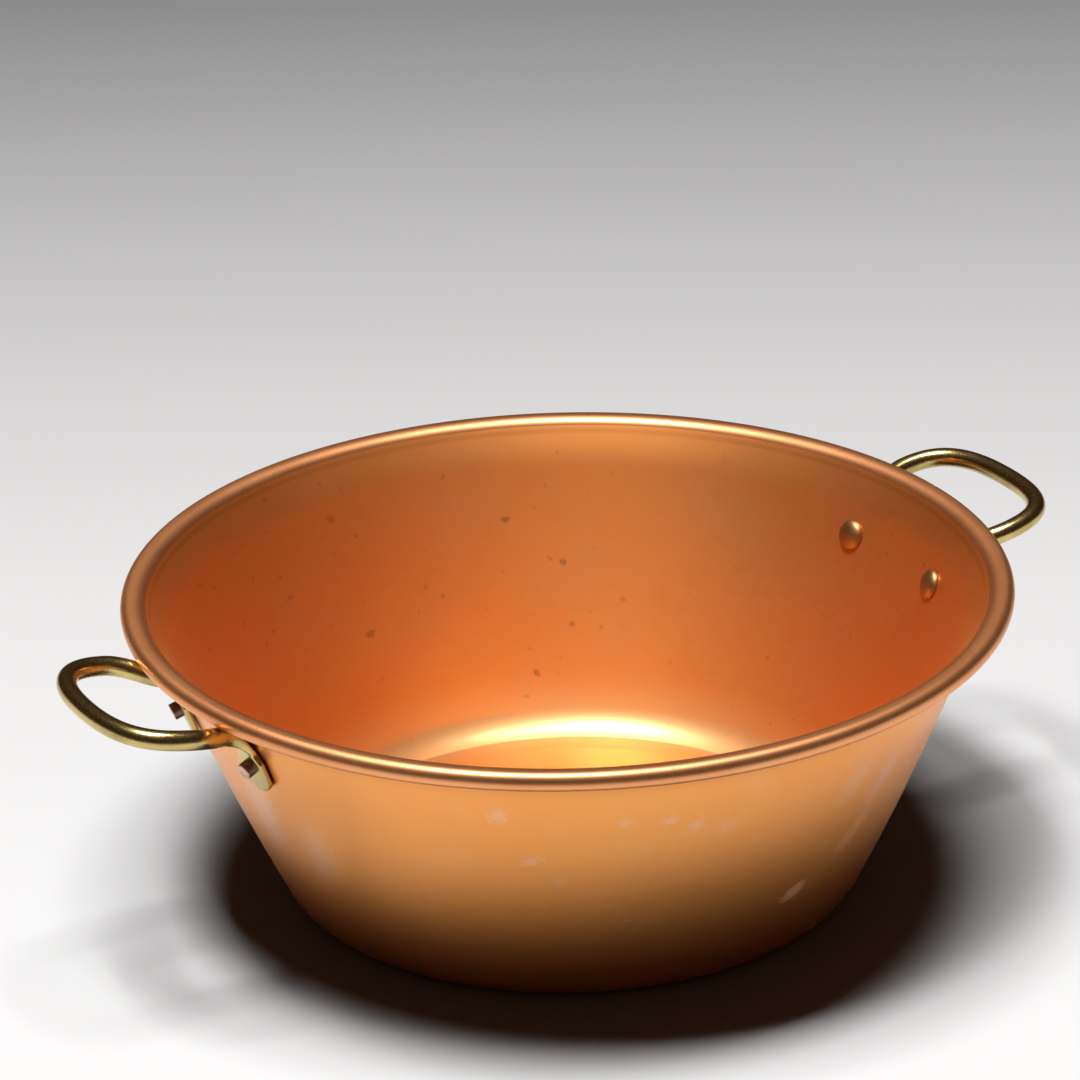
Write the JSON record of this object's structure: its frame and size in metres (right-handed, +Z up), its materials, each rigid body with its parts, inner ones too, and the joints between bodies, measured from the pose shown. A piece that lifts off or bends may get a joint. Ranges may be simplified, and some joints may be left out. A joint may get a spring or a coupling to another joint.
{
  "type": "jam pan",
  "caption": "Wide flat-based spun copper jam pan with a rolled rim and riveted brass loop handles.",
  "frame": {"origin": "middle of the base's underside, on the surface that the pan stands on", "axes": "+Z up along the bowl's axis, +X towards the right handle, +Y towards the rear"},
  "size_m": [0.4352, 0.36, 0.1285],
  "materials": {
    "copper_sheet": null,
    "steel_wire": "plain drawn wire, hidden in the rim",
    "brass_rod": "polished yellow brass",
    "copper_rivet": null
  },
  "bodies": {
    "root": {"pan_body": "copper_sheet", "rim_wire": "steel_wire", "handle_right": "brass_rod", "handle_left": "brass_rod", "rivet_right_rear": "copper_rivet", "rivet_right_front": "copper_rivet", "rivet_left_rear": "copper_rivet", "rivet_left_front": "copper_rivet"}
  },
  "joints": []
}
